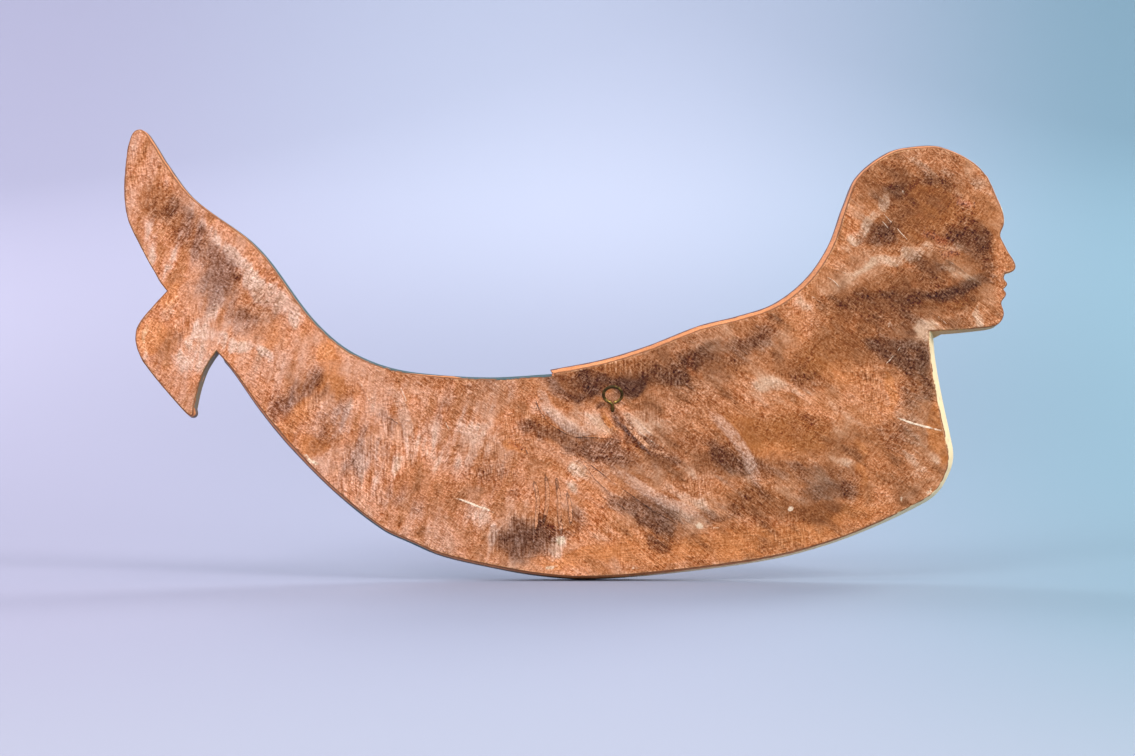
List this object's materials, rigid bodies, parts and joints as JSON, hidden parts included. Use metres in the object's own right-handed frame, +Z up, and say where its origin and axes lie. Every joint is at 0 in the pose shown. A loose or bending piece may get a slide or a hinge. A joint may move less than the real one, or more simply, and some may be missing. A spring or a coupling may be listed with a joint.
{
  "type": "mermaid wall sculpture",
  "caption": "Flat carved wooden mermaid with a curved tail, painted in front and bare behind, that hangs on a wall by a brass screw eye in its back.",
  "frame": {"origin": "where a nail bears, inside the top of the screw eye on the back", "axes": "+Z up as it hangs, +Y out of the flat back towards the wall, -Y out of the carved front, head at -X and tail flukes at +X"},
  "size_m": [0.6098, 0.0361, 0.3073],
  "materials": {
    "carved_wood": "bare, stained and sanded wood behind; worn paint over the carved front: red-brown hair, cream skin, teal tail",
    "aged_brass": "aged, darkened in the hollows and rubbed bright on the high side"
  },
  "bodies": {
    "root": {"mermaid_board": "carved_wood", "screw_eye": "aged_brass"}
  },
  "joints": []
}
